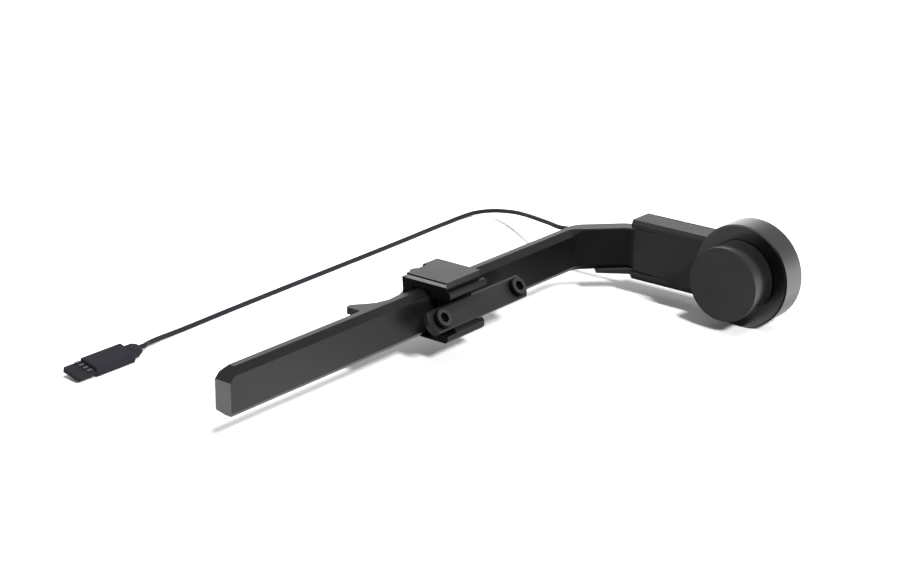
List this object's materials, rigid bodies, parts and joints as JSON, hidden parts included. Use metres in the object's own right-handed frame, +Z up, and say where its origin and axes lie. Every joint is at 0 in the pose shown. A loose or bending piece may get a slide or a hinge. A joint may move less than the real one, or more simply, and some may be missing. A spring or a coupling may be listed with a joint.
{
  "type": "focus demand",
  "caption": "Camera focus demand: control knob on a round housing, on a cranked bar held by a lever clamp with a mounting plate, and a cable with a flat plug.",
  "frame": {"origin": "centre of the bounding box's bottom face, the cable and its plug left out; the wheel's lowest line is at Z 0", "axes": "+Y runs along the bar from its free end towards the wheel and away from the knob's face, +X runs across from the clamp to the wheel, +Z up"},
  "size_m": [0.1725, 0.2337, 0.0375],
  "materials": {
    "black_anodised": "satin black anodised",
    "turned_aluminium": "turned, black anodised",
    "matte_black": "matte, fine texture",
    "black_plastic": "matte",
    "cable_rubber": "smooth",
    "plug_plastic": "moulded",
    "black_screw": "black oxide",
    "bright_steel": "bright",
    "nickel_contact": "nickel plated",
    "board_green": "coated",
    "felt_grey": "felt",
    "acetal_white": "smooth"
  },
  "bodies": {
    "arm": {"bar": "black_anodised", "bar_screw_1": "bright_steel", "bar_screw_2": "bright_steel", "box_shell": "black_plastic", "box_cover": "black_plastic", "box_cover_screw_1": "black_screw", "box_cover_screw_2": "black_screw", "box_cover_screw_3": "black_screw", "box_cover_screw_4": "black_screw", "interface_board": "board_green", "interface_board_screw_1": "bright_steel", "interface_board_screw_2": "bright_steel", "board_header": "black_plastic", "housing_screw_1": "bright_steel", "housing_screw_2": "bright_steel", "wheel_housing": "turned_aluminium", "wheel_rear_cover": "black_anodised", "wheel_cover_screw_1": "black_screw", "wheel_cover_screw_2": "black_screw", "wheel_cover_screw_3": "black_screw", "sensor_board": "board_green", "sensor_board_screw_1": "bright_steel", "sensor_board_screw_2": "bright_steel", "sensor_chip": "black_plastic", "drag_ring": "felt_grey", "front_bearing": "bright_steel", "rear_bearing": "bright_steel", "strain_relief": "cable_rubber", "inner_lead": "cable_rubber", "sensor_lead": "cable_rubber", "cord": "cable_rubber", "plug_collar": "plug_plastic", "plug_body": "plug_plastic", "plug_tongue": "plug_plastic", "plug_contact_1": "nickel_contact", "plug_contact_2": "nickel_contact", "plug_contact_3": "nickel_contact", "plug_contact_4": "nickel_contact"},
    "knob": {"knob": "matte_black", "knob_cap": "matte_black", "knob_screw": "bright_steel", "knob_shaft": "bright_steel", "shaft_clip": "bright_steel", "sensor_magnet": "bright_steel"},
    "clamp": {"clamp_body": "black_anodised", "bar_liner": "acetal_white", "mount_plate": "black_anodised", "mount_screw_1": "black_screw", "mount_screw_2": "black_screw", "screw_clip_1": "bright_steel", "screw_clip_2": "bright_steel", "plate_screw_1": "bright_steel", "plate_screw_2": "bright_steel", "lever_pin": "black_screw", "pin_clip": "bright_steel"},
    "lever": {"lock_lever": "black_anodised"},
    "shoe": {"clamp_shoe": "acetal_white"}
  },
  "joints": [
    {"name": "knob_spin", "type": "hinge", "parent": "arm", "child": "knob", "pos_m": [0.03058, 0.08985, 0.01875], "axis": [0, 1, 0], "continuous": true},
    {"name": "clamp_slide", "type": "slide", "parent": "arm", "child": "clamp", "axis": [0, 1, 0], "range_m": [-0.086, 0.024]},
    {"name": "lever_swing", "type": "hinge", "parent": "clamp", "child": "lever", "pos_m": [-0.04523, 0.00385, 0.01875], "axis": [0, 0, -1], "range_deg": [0, 90]},
    {"name": "shoe_slide", "type": "slide", "parent": "clamp", "child": "shoe", "axis": [1, 0, 0], "range_m": [-0.00055, 0]}
  ],
  "couplings": [
    {"joint": "shoe_slide", "follows": "lever_swing", "m_per_rad": -0.00035}
  ]
}
